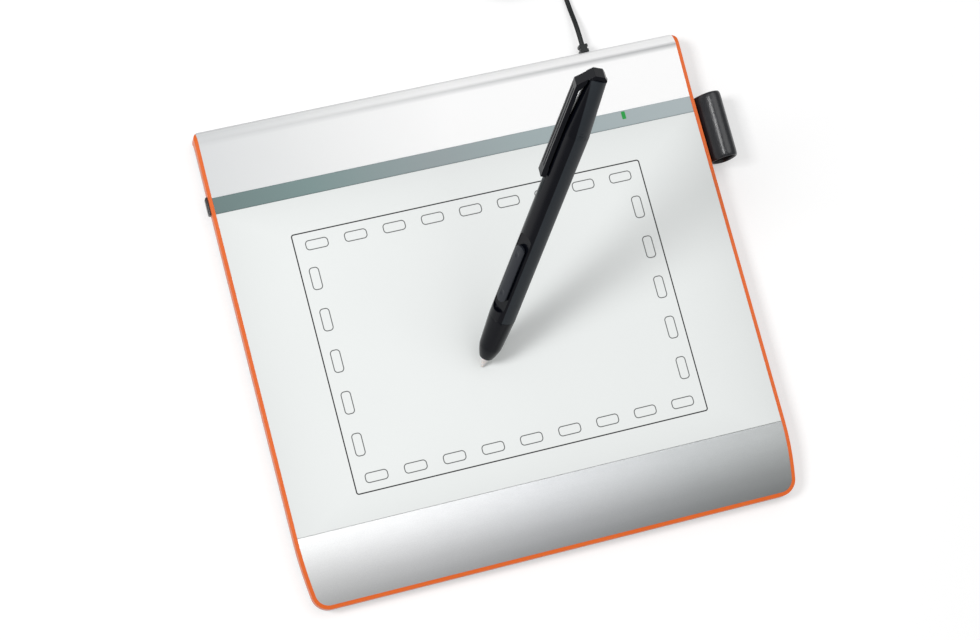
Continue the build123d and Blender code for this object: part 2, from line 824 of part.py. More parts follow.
stretches = [("run", cord_run, lead_path), ("coil", cord_coil, coil_path), ("tail", cord_tail, tail_path)]
for name, cord, path in stretches:
    length = sum(edge.length for edge in path.edges())
    section = pi * (cord_diameter / 2) ** 2
    by_section = round(cord.part.volume / length / section, 4)
    print("lead", name, "length", round(length, 1), "volume by section", by_section)

# USB plug: moulded body with its ringed neck, shell, tongue and contacts, lying along -X
usb_x, usb_y, _ = tail_route[-1]
usb_frame = Plane(origin=(tablet_x + usb_x, usb_y, usb_level), x_dir=(0, -1, 0), z_dir=(-1, 0, 0))
with BuildPart() as usb_body:
    with BuildSketch(usb_frame.offset(usb_neck_length)):
        RectangleRounded(usb_width, usb_height, usb_corner)
    extrude(amount=usb_length - usb_neck_length)
    chamfer(usb_body.faces().filter_by(Axis.X).edges(), usb_bevel)
    with BuildSketch(usb_frame.offset(usb_neck_length)):
        Circle(usb_neck_radius)
    extrude(amount=-usb_neck_length, taper=usb_neck_taper)
    with Locations([usb_frame.offset(usb_neck_ring * (2 * k + 1)) for k in range(usb_neck_rings)]):
        Cylinder(usb_neck_radius, usb_neck_ring, align=upright, mode=Mode.SUBTRACT)
        Cylinder(cord_diameter / 2 + usb_neck_ring, usb_neck_ring, align=upright)
    grip_middle = usb_neck_length + (usb_length - usb_neck_length) / 2
    grip_places = [grip_middle + usb_grip_pitch * (k - (usb_grip_count - 1) / 2)
                   for k in range(usb_grip_count)]
    for side in (-1, 1):
        with Locations([usb_frame * Pos(0, side * usb_height / 2, place) for place in grip_places]):
            Box(usb_width - 2 * usb_grip_margin, 2 * usb_grip_depth, usb_grip_width, mode=Mode.SUBTRACT)
    with Locations([usb_frame * Pos(0, 0, usb_length)]):
        Box(shell_width, shell_height, 2 * shell_held, mode=Mode.SUBTRACT)
usb_body.part.label = "usb_body"
export_step(usb_body.part, "parts/usb_body.step")

shell_start = usb_length - shell_held
shell_length = shell_held + shell_shown
window_place = usb_length + shell_window_place
with BuildPart() as usb_shell:
    with Locations([usb_frame * Pos(0, 0, shell_start)]):
        Box(shell_width, shell_height, shell_length, align=upright)
        Box(shell_width - 2 * shell_sheet, shell_height - 2 * shell_sheet, 2 * shell_length + cut,
            mode=Mode.SUBTRACT)
    with Locations([usb_frame * Pos(side * shell_window_offset, 0, window_place) for side in (-1, 1)]):
        Box(shell_window, 2 * shell_height, shell_window, mode=Mode.SUBTRACT)
usb_shell.part.label = "usb_shell"
export_step(usb_shell.part, "parts/usb_shell.step")

tongue_width = shell_width - 2 * shell_sheet
tongue_level = shell_height / 2 - shell_sheet
contact_places = [contact_pitch * (k - (contact_count - 1) / 2) for k in range(contact_count)]
contact_length = shell_length - 2 * contact_set_back
with BuildPart() as usb_tongue:
    with Locations([usb_frame * Pos(0, tongue_level - tongue_thickness / 2, shell_start)]):
        Box(tongue_width, tongue_thickness, shell_length - contact_set_back / 2, align=upright)
    with Locations([usb_frame * Pos(x, tongue_level - tongue_thickness, shell_start)
                    for x in contact_places]):
        Box(contact_width, 2 * contact_depth, contact_length, align=upright, mode=Mode.SUBTRACT)
usb_tongue.part.label = "usb_tongue"
export_step(usb_tongue.part, "parts/usb_tongue.step")

with BuildPart() as usb_contacts:
    with Locations([usb_frame * Pos(x, tongue_level - tongue_thickness + contact_depth / 2, shell_start)
                    for x in contact_places]):
        Box(contact_width, contact_depth, contact_length, align=upright)
usb_contacts.part.label = "usb_contacts"
export_step(usb_contacts.part, "parts/usb_contacts.step")

# Pen loop: a teardrop of glossy leather whose neck runs into the side slot
loop_middle = Plane(origin=(tablet_x + half_width, loop_y, 0), x_dir=(1, 0, 0), z_dir=(0, -1, 0))


def loop_outline(inset=0.0):
    """The loop seen from the front, x from the tablet's side and y the level."""
    near = loop_stand_off
    far = loop_stand_off + loop_width
    top = loop_base + loop_height
    with BuildSketch() as outline:
        with BuildLine():
            FilletPolyline(
                (near, slot_level + loop_throat),
                (near + loop_crown_out, top + loop_crown_rise),
                (far - loop_shoulder_in, top - loop_shoulder_drop),
                (far, slot_level + loop_nose_rise),
                (far - loop_sole_far, loop_base),
                (near + loop_sole_near, loop_base),
                (near, slot_level - loop_throat),
                radius=loop_corner, close=True)
        make_face()
        if inset:
            offset(amount=-inset, mode=Mode.REPLACE)
    return outline.sketch


with BuildPart() as pen_loop:
    with BuildSketch(loop_middle):
        add(loop_outline())
        add(loop_outline(loop_wall), mode=Mode.SUBTRACT)
    extrude(amount=loop_length / 2, both=True)
    with spots([(half_width + loop_stand_off + loop_wall, loop_y)], slot_level):
        Box(loop_wall + loop_stand_off + band_width, strap_length, strap_thickness,
            align=(Align.MAX, Align.CENTER, Align.CENTER))
pen_loop.part.label = "pen_loop"
export_step(pen_loop.part, "parts/pen_loop.step")

# Loop tongue and slot plug, each pushed into its slot
with BuildPart() as loop_tongue:
    with BuildSketch(Plane(origin=(tablet_x + half_width - band_width, loop_y, slot_level))):
        with BuildLine():
            Polyline(
                (0, tongue_half),
                (tongue_barb_start, tongue_half),
                (tongue_barb_start, tongue_half + tongue_barb),
                (tongue_barb_start - 2 * tongue_barb, tongue_half + tongue_barb),
                (tongue_end, tongue_half - tongue_barb),
                (tongue_end, 0),
                (0, 0),
                close=True)
        make_face()
        mirror(about=Plane.XZ)
    extrude(amount=strap_thickness / 2, both=True)
loop_tongue.part.label = "loop_tongue"
export_step(loop_tongue.part, "parts/loop_tongue.step")

with BuildPart() as slot_plug:
    with spots([(-half_width, plug_y)], slot_level):
        Box(plug_tab_out, plug_tab_length, plug_tab_height, align=(Align.MAX, Align.CENTER, Align.CENTER))
        Box(plug_depth, plug_shank_length, strap_thickness, align=(Align.MIN, Align.CENTER, Align.CENTER))
    fillet(slot_plug.faces().sort_by(Axis.X)[0].edges(), plug_tab_round)
slot_plug.part.label = "slot_plug"
export_step(slot_plug.part, "parts/slot_plug.step")

# Pen frame: origin at the tip, Z along the pen, X up and square to it
heading = radians(pen_heading)
elevation = radians(pen_elevation)
pen_dir = Vector(cos(elevation) * cos(heading), cos(elevation) * sin(heading), sin(elevation))
pen_up = Vector(-sin(elevation) * cos(heading), -sin(elevation) * sin(heading), cos(elevation))
pen_level = sheet_level + pen_tip_gap + nib_tip_radius * (1 - sin(elevation))
pen = Plane(origin=(tablet_x + pen_x, pen_y, pen_level), x_dir=pen_up, z_dir=pen_dir)
pen_axis = Axis(pen.origin, pen.z_dir)


def turned_frame(turn):
    """The pen frame turned about the pen's axis."""
    return Plane(origin=pen.origin, x_dir=pen.x_dir.rotate(Axis((0, 0, 0), pen.z_dir), turn), z_dir=pen.z_dir)


def side_plane(frame):
    """Across is the distance from the pen's axis towards a frame's X, up is the place along the axis."""
    return Plane(origin=frame.origin, x_dir=frame.x_dir, z_dir=-frame.y_dir)


def face_plane(frame):
    """Seen against a frame's X: across is its Y, up is the place along the axis."""
    return Plane(origin=frame.origin, x_dir=frame.y_dir, z_dir=frame.x_dir)


def section(*points):
    """A closed outline with straight sides."""
    with BuildSketch() as outline:
        with BuildLine():
            Polyline(*points, close=True)
        make_face()
    return outline.sketch


clip_frame = turned_frame(clip_turn)
rocker_frame = turned_frame(rocker_turn)
mark_frame = turned_frame(cap_mark_turn)
pen_side = side_plane(pen)
rocker_middle = (rocker_start + rocker_end) / 2

# Nib with its holder
with BuildPart() as nib:
    with BuildSketch(pen_side):
        with BuildLine():
            tip_centre = nib_tip_radius
            RadiusArc((0, 0), (nib_tip_radius, tip_centre), -nib_tip_radius)
            Polyline((nib_tip_radius, tip_centre), (nib_base_radius, nib_cone), (nib_shank_radius, nib_cone),
                     (nib_shank_radius, holder_start), (0, holder_start), (0, 0))
        make_face()
    revolve(axis=pen_axis)
nib.part.label = "nib"
export_step(nib.part, "parts/nib.step")

with BuildPart() as nib_holder:
    with BuildSketch(pen.offset(holder_start)):
        Circle(holder_radius)
    extrude(amount=holder_length)
nib_holder.part.label = "nib_holder"
export_step(nib_holder.part, "parts/nib_holder.step")

# Nose cone: bullet-shaped grip end, hollow for the coil
mouth_radius = nib_base_radius + nib_mouth_gap
mouth_end = nib_cone + nib_travel + nib_mouth_extra
shank_bore = nib_shank_radius + slide_gap
with BuildPart() as nose_cone:
    with BuildSketch(pen_side):
        with BuildLine():
            Polyline((mouth_radius, nose_front), (nose_front_radius, nose_front))
            TangentArc((nose_front_radius, nose_front), (nose_belly_radius, nose_belly),
                       tangent=(nose_lean, 1))
            Polyline((nose_belly_radius, nose_belly), (barrel_radius, nose_end),
                     (nose_spigot_radius, nose_end),
                     (nose_spigot_radius, nose_end + nose_spigot_length),
                     (barrel_front_bore, nose_end + nose_spigot_length), (barrel_front_bore, nose_bore_start),
                     (nose_funnel_radius, nose_chamber), (shank_bore, nose_chamber),
                     (shank_bore, mouth_end), (mouth_radius, mouth_end), (mouth_radius, nose_front))
        make_face()
    revolve(axis=pen_axis)
nose_cone.part.label = "nose_cone"
export_step(nose_cone.part, "parts/nose_cone.step")

# Ferrite core, its winding and the pressure sensor
with BuildPart() as ferrite_core:
    with BuildSketch(pen.offset(nose_chamber)):
        Circle(core_radius)
        Circle(nib_shank_radius + core_gap, mode=Mode.SUBTRACT)
    extrude(amount=core_length)
ferrite_core.part.label = "ferrite_core"
export_step(ferrite_core.part, "parts/ferrite_core.step")

with BuildPart() as core_winding:
    with BuildSketch(pen.offset(nose_chamber + winding_inset)):
        Circle(core_radius + winding_thickness)
        Circle(core_radius, mode=Mode.SUBTRACT)
    extrude(amount=core_length - 2 * winding_inset)
core_winding.part.label = "core_winding"
export_step(core_winding.part, "parts/core_winding.step")

sensor_start = holder_start + holder_length + nib_travel + sensor_gap
with BuildPart() as pressure_sensor:
    with BuildSketch(pen.offset(sensor_start)):
        Circle(sensor_radius)
    extrude(amount=sensor_length)
pressure_sensor.part.label = "pressure_sensor"
export_step(pressure_sensor.part, "parts/pressure_sensor.step")

# Barrel: stepped bore, flat-floored pocket for the rocker
with BuildPart() as pen_barrel:
    with BuildSketch(pen_side):
        add(section(
            (nose_spigot_radius + slide_gap, nose_end), (barrel_radius, nose_end), (barrel_radius, cap_joint),
            (battery_bore, cap_joint), (battery_bore, bore_step), (barrel_front_bore, bore_step),
            (barrel_front_bore, nose_end + nose_spigot_length + slide_gap),
            (nose_spigot_radius + slide_gap, nose_end + nose_spigot_length + slide_gap)))
    revolve(axis=pen_axis)
    with BuildSketch(face_plane(rocker_frame).offset(pocket_level)):
        with Locations((0, (pocket_start + pocket_end) / 2)):
            RectangleRounded(pocket_width, pocket_end - pocket_start, pocket_corner)
    extrude(amount=barrel_radius, mode=Mode.SUBTRACT)
    with Locations([rocker_frame * Pos(pocket_level, 0, rocker_middle)]):
        Box(2 * (pocket_level - rocker_boss_bottom), rocker_boss_width + 2 * rocker_gap,
            rocker_boss_length + 2 * rocker_gap, mode=Mode.SUBTRACT)
    with BuildSketch(face_plane(rocker_frame).offset(pocket_level)):
        with Locations((0, rocker_middle - rocker_stem_place), (0, rocker_middle + rocker_stem_place)):
            Circle(rocker_stem_radius + rocker_gap)
    extrude(amount=pen_board_level - pocket_level + tact_height, mode=Mode.SUBTRACT)
    with Locations([side_plane(rocker_frame) * Pos(rocker_pin_level, rocker_middle)]):
        Cylinder(rocker_pin_radius, rocker_pin_length, mode=Mode.SUBTRACT)
pen_barrel.part.label = "pen_barrel"
export_step(pen_barrel.part, "parts/pen_barrel.step")

# Rocker switch on its cross pin, over the two small switches on the pen's board
with BuildPart() as rocker_switch:
    with BuildSketch(face_plane(rocker_frame).offset(rocker_bottom)):
        with Locations((0, rocker_middle)):
            RectangleRounded(rocker_width, rocker_end - rocker_start, rocker_end_round)
    extrude(amount=rocker_top)
    with Locations([rocker_frame * Pos(0, 0, rocker_middle)]):
        Cylinder(rocker_top, cut, mode=Mode.INTERSECT)
    with Locations([rocker_frame * Pos(rocker_bottom, 0, rocker_middle)]):
        Box(rocker_bottom - rocker_boss_bottom, rocker_boss_width, rocker_boss_length,
            align=(Align.MAX, Align.CENTER, Align.CENTER))
    with BuildSketch(face_plane(rocker_frame).offset(rocker_bottom)):
        with Locations((0, rocker_middle - rocker_stem_place), (0, rocker_middle + rocker_stem_place)):
            Circle(rocker_stem_radius)
    extrude(amount=rocker_stem_bottom - rocker_bottom)
    with Locations([rocker_frame * Pos(rocker_top + rocker_dimple_radius - rocker_dimple_depth, 0, place)
                    for place in (rocker_middle - rocker_stem_place, rocker_middle + rocker_stem_place)]):
        Sphere(rocker_dimple_radius, mode=Mode.SUBTRACT)
    with Locations([side_plane(rocker_frame) * Pos(rocker_pin_level, rocker_middle)]):
        Cylinder(rocker_pin_radius + slide_gap, rocker_pin_length, mode=Mode.SUBTRACT)
rocker_switch.part.label = "rocker_switch"
export_step(rocker_switch.part, "parts/rocker_switch.step")

with BuildPart() as rocker_pin:
    with Locations([side_plane(rocker_frame) * Pos(rocker_pin_level, rocker_middle)]):
        Cylinder(rocker_pin_radius, rocker_pin_length)
rocker_pin.part.label = "rocker_pin"
export_step(rocker_pin.part, "parts/rocker_pin.step")

with BuildPart() as pen_board:
    with Locations([rocker_frame * Pos(pen_board_level, 0, pen_board_start)]):
        Box(pen_board_thickness, pen_board_width, pen_board_end - pen_board_start,
            align=(Align.MAX, Align.CENTER, Align.MIN))
pen_board.part.label = "pen_board"
export_step(pen_board.part, "parts/pen_board.step")

with BuildPart() as tact_switches:
    for place in (rocker_middle - rocker_stem_place, rocker_middle + rocker_stem_place):
        with Locations([rocker_frame * Pos(pen_board_level, 0, place)]):
            Box(tact_height, tact_size, tact_size, align=(Align.MIN, Align.CENTER, Align.CENTER))
        with BuildSketch(face_plane(rocker_frame).offset(pen_board_level + tact_height)):
            with Locations((0, place)):
                Circle(tact_button_radius)
        extrude(amount=tact_button_height)
tact_switches.part.label = "tact_switches"
export_step(tact_switches.part, "parts/tact_switches.step")

# Battery, its contact and the spring under the cap
with BuildPart() as battery_contact:
    with BuildSketch(pen.offset(battery_start - contact_thickness)):
        Circle(contact_radius)
    extrude(amount=contact_thickness)
battery_contact.part.label = "battery_contact"
export_step(battery_contact.part, "parts/battery_contact.step")

battery_length = battery_end - battery_start - battery_nub_height
with BuildPart() as battery:
    with BuildSketch(pen.offset(battery_start)):
        Circle(battery_nub_radius)
    extrude(amount=battery_nub_height)
    with BuildSketch(pen.offset(battery_start + battery_nub_height)):
        Circle(battery_diameter / 2)
    extrude(amount=battery_length)
    chamfer(battery.faces().filter_by(GeomType.PLANE).edges().filter_by(GeomType.CIRCLE)
            .filter_by(lambda edge: edge.radius > battery_nub_radius), contact_thickness / 2)
battery.part.label = "battery"
export_step(battery.part, "parts/battery.step")

spring_start = battery_end + desk_gap + spring_wire / 2
spring_pitch = (cap_chamber_end - spring_wire / 2 - spring_start) / (spring_half_turns / 2)
spring_stations = [(k / 2, spring_radius, spring_start + spring_pitch * k / 2)
                   for k in range(spring_half_turns + 1)]
with BuildPart() as cap_spring:
    with BuildLine() as spring_path:
        winding(pen, spring_stations, spring_pitch)
    with BuildSketch(Plane(origin=spring_path.line @ 0, z_dir=spring_path.line % 0)):
        Circle(spring_wire / 2)
    sweep()
cap_spring.part.label = "cap_spring"
export_step(cap_spring.part, "parts/cap_spring.step")
print("spring least gap", round(least_gap(spring_path.wires()[0], spring_wire, pi * spring_radius), 2))

# Battery cap: tapered, with a spigot in the barrel's bore and three short marks at the joint
with BuildPart() as battery_cap:
    with BuildSketch(pen_side):
        add(section(
            (cap_chamber_radius, cap_joint - spigot_length),
            (battery_bore - slide_gap, cap_joint - spigot_length),
            (battery_bore - slide_gap, cap_joint), (cap_joint_radius, cap_joint), (cap_end_radius, cap_end),
            (0, cap_end), (0, cap_chamber_end), (cap_chamber_radius, cap_chamber_end)))
    revolve(axis=pen_axis)
    with Locations([mark_frame * Pos(cap_joint_radius, 0, cap_joint + cap_mark_inset + cap_mark_pitch * k)
                    for k in range(cap_mark_count)]):
        Box(2 * cap_mark_depth, cap_mark_length, cap_mark_width, mode=Mode.SUBTRACT)
battery_cap.part.label = "battery_cap"
export_step(battery_cap.part, "parts/battery_cap.step")

# Clip: flat-topped crown, sloping shoulder, grooved strap and stepped foot
clip_inner = clip_out - clip_thickness
foot_top = clip_end + clip_foot_length
with BuildPart() as pen_clip:
    with BuildSketch(side_plane(clip_frame)):
        add(section(
            (-crown_back, cap_end), (-crown_back, pen_length - crown_back_bevel),
            (crown_back_bevel - crown_back, pen_length), (crown_flat, pen_length),
            (clip_out, pen_length - clip_drop), (clip_out, clip_end), (clip_foot_reach, clip_end),
            (clip_foot_reach, foot_top), (clip_inner, foot_top + clip_inner - clip_foot_reach),
            (clip_inner, clip_root_start), (clip_web, clip_web_start), (clip_web, cap_end)))
    extrude(amount=crown_width / 2, both=True)
    with BuildSketch(face_plane(clip_frame)):
        with Locations((0, cap_end)):
            Rectangle(crown_width, cut, align=(Align.CENTER, Align.MIN))
        with Locations((0, (clip_end + cap_end) / 2)):
            Rectangle(clip_width, cap_end - clip_end)
    extrude(amount=cut, both=True, mode=Mode.INTERSECT)
    with Locations([clip_frame * Pos(clip_out, side * clip_groove_offset, (foot_top + clip_root_start) / 2)
                    for side in (-1, 1)]):
        Box(2 * clip_groove_depth, clip_groove_width, clip_root_start - foot_top, mode=Mode.SUBTRACT)
pen_clip.part.label = "pen_clip"
export_step(pen_clip.part, "parts/pen_clip.step")
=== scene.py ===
from contextlib import contextmanager
from math import cos, pi, radians, sin
import json

import bmesh
import bpy
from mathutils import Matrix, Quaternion, Vector


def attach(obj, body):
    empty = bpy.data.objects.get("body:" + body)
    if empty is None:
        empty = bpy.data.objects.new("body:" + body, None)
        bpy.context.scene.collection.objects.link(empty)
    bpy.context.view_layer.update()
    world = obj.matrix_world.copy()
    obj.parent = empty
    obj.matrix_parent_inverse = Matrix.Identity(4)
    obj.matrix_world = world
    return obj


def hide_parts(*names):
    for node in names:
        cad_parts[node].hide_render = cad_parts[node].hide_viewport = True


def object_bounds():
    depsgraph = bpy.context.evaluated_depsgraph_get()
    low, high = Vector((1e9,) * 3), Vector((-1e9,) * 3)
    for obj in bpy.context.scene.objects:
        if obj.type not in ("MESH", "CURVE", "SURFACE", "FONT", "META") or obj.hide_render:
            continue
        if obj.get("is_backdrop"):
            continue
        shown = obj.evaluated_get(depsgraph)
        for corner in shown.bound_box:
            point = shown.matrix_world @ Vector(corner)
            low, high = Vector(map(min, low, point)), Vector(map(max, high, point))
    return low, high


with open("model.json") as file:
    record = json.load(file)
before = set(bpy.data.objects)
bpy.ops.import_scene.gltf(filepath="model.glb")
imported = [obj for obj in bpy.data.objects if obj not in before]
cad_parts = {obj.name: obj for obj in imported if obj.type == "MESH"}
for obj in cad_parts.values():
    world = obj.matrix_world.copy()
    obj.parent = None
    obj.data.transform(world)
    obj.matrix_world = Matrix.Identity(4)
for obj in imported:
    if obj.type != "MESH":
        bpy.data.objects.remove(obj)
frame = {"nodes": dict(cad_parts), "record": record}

cad_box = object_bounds()
mm = 0.001
scene = bpy.context.scene

# How edges are rounded and flats are joined on every moulded piece
edge_steps = 3
edge_angle = radians(30)
edge_weight = 80
smooth_angle = radians(35)
weld_distance = 0.002 * mm
flat_angle = radians(0.2)


# Small helpers for modelling by hand

def only(obj):
    """Select this object alone and make it active."""
    bpy.ops.object.select_all(action="DESELECT")
    obj.select_set(True)
    bpy.context.view_layer.objects.active = obj


@contextmanager
def shaping(obj):
    """Edit mode on one object."""
    only(obj)
    bpy.ops.object.mode_set(mode="EDIT")
    yield obj
    bpy.ops.object.mode_set(mode="OBJECT")


def change(obj, kind, **settings):
    """Add a modifier and apply it at once."""
    only(obj)
    modifier = obj.modifiers.new(kind.lower(), kind)
    for name, value in settings.items():
        setattr(modifier, name, value)
    bpy.ops.object.modifier_apply(modifier=modifier.name)


def ease(obj, width):
    """Round every edge that is sharper than an angle."""
    change(obj, "BEVEL", width=width, segments=edge_steps, limit_method="ANGLE", angle_limit=edge_angle,
           harden_normals=False, use_clamp_overlap=True, miter_outer="MITER_ARC")


def smooth(obj, angle=smooth_angle):
    """Smooth shading, split where faces meet more sharply than an angle."""
    only(obj)
    bpy.ops.object.shade_smooth_by_angle(angle=angle)


def settle(obj, body, slot, nodes, finish):
    """Put a finished piece's place into its shape, give it its finish, hang it on its body and hide the
    nodes it stands for.
    """
    only(obj)
    bpy.ops.object.transform_apply(location=True, rotation=True, scale=True)
    obj.data.materials.clear()
    obj.data.materials.append(finish)
    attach(obj, body)
    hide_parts(*nodes)
    return obj


def body_of_node(node):
    """The body that carries a node."""
    bodies = frame["record"]["behaviour"]["bodies"]
    return next(body for body, members in bodies.items() if node in members)


def dressed(node, name, slot, finish, edge, join_flats):
    """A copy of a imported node, its triangles joined and its edges rounded, that stands for the node."""
    only(frame["nodes"][node])
    bpy.ops.object.duplicate()
    obj = bpy.context.view_layer.objects.active
    obj.name = name
    obj.data.name = name
    obj.parent = None
    for key in list(obj.keys()):
        del obj[key]
    with shaping(obj):
        bpy.ops.mesh.customdata_custom_splitnormals_clear()
        bpy.ops.mesh.select_all(action="SELECT")
        bpy.ops.mesh.remove_doubles(threshold=weld_distance)
        if join_flats:
            bpy.ops.mesh.dissolve_limited(angle_limit=flat_angle)
    if edge:
        ease(obj, edge)
        change(obj, "WEIGHTED_NORMAL", keep_sharp=False, weight=edge_weight)
    else:
        smooth(obj)
    return settle(obj, body_of_node(node), slot, [node], finish)


# Shader maths: a value that plain arithmetic can use, and one method that adds any node

class Level:
    """One output of a node. Arithmetic on it adds Math nodes."""

    def __init__(self, finish, socket):
        self.finish = finish
        self.socket = socket

    def other(self, output):
        """Another output of the same node."""
        return Level(self.finish, self.socket.node.outputs[output])

    def math(self, operation, *values):
        """A Math node on these values."""
        return self.finish.node("ShaderNodeMath", {"operation": operation}, dict(enumerate(values)))

    def __add__(self, value):
        return self.math("ADD", self, value)

    def __sub__(self, value):
        return self.math("SUBTRACT", self, value)

    def __rsub__(self, value):
        return self.math("SUBTRACT", value, self)

    def __mul__(self, value):
        return self.math("MULTIPLY", self, value)

    def __truediv__(self, value):
        return self.math("DIVIDE", self, value)

    def __pow__(self, value):
        return self.math("POWER", self, value)

    def __abs__(self):
        return self.math("ABSOLUTE", self)

    def __round__(self):
        return self.math("ROUND", self)

    __radd__ = __add__
    __rmul__ = __mul__

    def least(self, value):
        return self.math("MINIMUM", self, value)

    def most(self, value):
        return self.math("MAXIMUM", self, value)

    def sine(self):
        return self.math("SINE", self)

    def root(self):
        return self.math("SQRT", self)

    def held(self, low=0.0, high=1.0):
        """Kept between two values."""
        return self.most(low).least(high)

    def swing(self, amount):
        """A value between 0 and 1 as a change to either side of nought."""
        return (self - 0.5) * amount


class Finish:
    """A material in the making."""

    def __init__(self, name):
        self.material = bpy.data.materials.new(name)
        self.material.use_nodes = True
        self.tree = self.material.node_tree
        self.tree.nodes.clear()
        self.place = self.node("ShaderNodeTexCoord", output="Object")

    def node(self, kind, settings=None, inputs=None, output=0):
        """Add a node: its settings first, then a value or a link for each socket. Gives one output."""
        made = self.tree.nodes.new(kind)
        for key, value in (settings or {}).items():
            if key == "stops":
                self.set_stops(made.color_ramp, value)
            else:
                setattr(made, key, value)
        for key, value in (inputs or {}).items():
            if isinstance(value, Level):
                self.tree.links.new(value.socket, made.inputs[key])
            else:
                made.inputs[key].default_value = value
        return Level(self, made.outputs[output])

    def set_stops(self, ramp, stops):
        """Give a colour ramp its stops, each a place and a colour."""
        while len(ramp.elements) < len(stops):
            ramp.elements.new(1.0)
        for element, (place, colour) in zip(ramp.elements, stops):
            element.position = place
            element.color = colour

    def ramp(self, factor, *stops):
        """A colour that follows a factor through its stops."""
        return self.node("ShaderNodeValToRGB", {"stops": stops}, {0: factor})

    def xyz(self, vector=None):
        """The three parts of a vector, of the place on the piece by default."""
        x = self.node("ShaderNodeSeparateXYZ", inputs={0: vector or self.place})
        return x, x.other("Y"), x.other("Z")

    def noise(self, size, detail=2.0, roughness=0.5, stretch=(1, 1, 1)):
        """Cloudy noise whose blobs are about a size, in metres."""
        where = self.node("ShaderNodeMapping", inputs={"Vector": self.place, "Scale": stretch})
        inputs = {"Vector": where, "Scale": 1 / size, "Detail": detail, "Roughness": roughness}
        return self.node("ShaderNodeTexNoise", inputs=inputs)

    def cells(self, size, jitter=1.0, output="Distance"):
        """Voronoi cells of about a size, in metres."""
        return self.node("ShaderNodeTexVoronoi", {"feature": "F1"},
                         {"Vector": self.place, "Scale": 1 / size, "Randomness": jitter}, output)

    def tint(self, factor, colour, other):
        """One colour where the factor is 0, the other where it is 1."""
        return self.node("ShaderNodeMix", {"data_type": "RGBA"}, {0: factor, 6: colour, 7: other}, 2)

    def bump(self, height, depth):
        """A normal from a height between 0 and 1 and the depth of its relief, in metres."""
        return self.node("ShaderNodeBump", inputs={"Height": height, "Distance": depth})

    def skin(self, colour, roughness, normal, **constants):
        """Close the material with a Principled shader."""
        inputs = {"Base Color": colour, "Roughness": roughness, "Normal": normal}
        inputs.update({key.replace("_", " "): value for key, value in constants.items()})
        return self.close(self.node("ShaderNodeBsdfPrincipled", inputs=inputs))

    def close(self, shader):
        """Lead a shader to the output. Gives the finished material."""
        out = self.tree.nodes.new("ShaderNodeOutputMaterial")
        self.tree.links.new(shader.socket, out.inputs["Surface"])
        return self.material


def rgb(*values):
    """A colour as seen on a screen, red, green and blue from 0 to 255, as a shader needs it."""
    shares = [value / 255 for value in values]
    return tuple(c / 12.92 if c <= 0.04045 else ((c + 0.055) / 1.055) ** 2.4 for c in shares) + (1.0,)


def grey(value):
    """A plain grey as a shader needs it, from 0 to 1."""
    return (value, value, value, 1.0)


def scaled(colour, amount):
    """A colour made darker or lighter, at most white."""
    return tuple(min(1.0, c * amount) for c in colour[:3]) + (1.0,)


# The camera stands high at the front left, as in the picture
view_aim = Vector((-8.76, -2.17, 9.2)) * mm
view_distance = 1.0
view_azimuth = radians(-144.02)
view_elevation = radians(74.57)
view_roll = radians(40.096)
view_lens = 96.48
sensor_width = 36.0
nearest_seen = 0.05

to_camera = Vector((cos(view_elevation) * cos(view_azimuth), cos(view_elevation) * sin(view_azimuth),
                    sin(view_elevation)))
camera_data = bpy.data.cameras.new("camera")
camera_data.lens = view_lens
camera_data.sensor_width = sensor_width
camera_data.clip_start = nearest_seen
camera = bpy.data.objects.new("camera", camera_data)
scene.collection.objects.link(camera)
camera.location = view_aim + to_camera * view_distance
camera.rotation_mode = "QUATERNION"
camera.rotation_quaternion = (-to_camera).to_track_quat("-Z", "Y") @ Quaternion((0, 0, 1), view_roll)
scene.camera = camera

# Floor, lamps and the pale room
floor_size = 8.0
floor_glow = 0.45
floor_cloud = 0.4
room_light = 0.37
bpy.ops.object.select_all(action="DESELECT")
bpy.ops.mesh.primitive_plane_add(size=floor_size, location=(0, 0, 0))
floor = bpy.context.view_layer.objects.active
floor.name = "floor"
floor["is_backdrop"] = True


def floor_finish():
    """Pale floor that the camera and mirrors see a little brighter than it is lit."""
    paper = Finish("floor_paper")
    cloud = paper.noise(floor_cloud, detail=1.0)
    colour = paper.tint(cloud, rgb(204, 204, 204), rgb(208, 208, 208))
    lit = paper.node("ShaderNodeBsdfDiffuse", inputs={"Color": colour})
    rays = paper.node("ShaderNodeLightPath", output="Is Camera Ray")
    seen = rays.most(rays.other("Is Glossy Ray")).most(rays.other("Is Transmission Ray"))
    glow = paper.node("ShaderNodeEmission", inputs={"Color": grey(1.0), "Strength": seen * floor_glow})
    return paper.close(paper.node("ShaderNodeAddShader", inputs={0: lit, 1: glow}))


floor.data.materials.append(floor_finish())

room = bpy.data.worlds.new("room")
scene.world = room
room.use_nodes = True
backdrop = room.node_tree.nodes["Background"]
backdrop.inputs["Color"].default_value = grey(1.0)
backdrop.inputs["Strength"].default_value = room_light


def lamp(name, place, size, power):
    """A square soft box that looks at the middle of the tablet."""
    data = bpy.data.lights.new(name, "AREA")
    data.shape = "SQUARE"
    data.size = size
    data.energy = power
    obj = bpy.data.objects.new(name, data)
    scene.collection.objects.link(obj)
    obj.location = place
    obj.rotation_mode = "QUATERNION"
    obj.rotation_quaternion = (-Vector(place)).to_track_quat("-Z", "Y")


lamp("key_box", (-0.93, 0.2, 1.2), size=0.42, power=11.5)
lamp("top_box", (0.42, 0.36, 1.45), size=1.1, power=6.4)

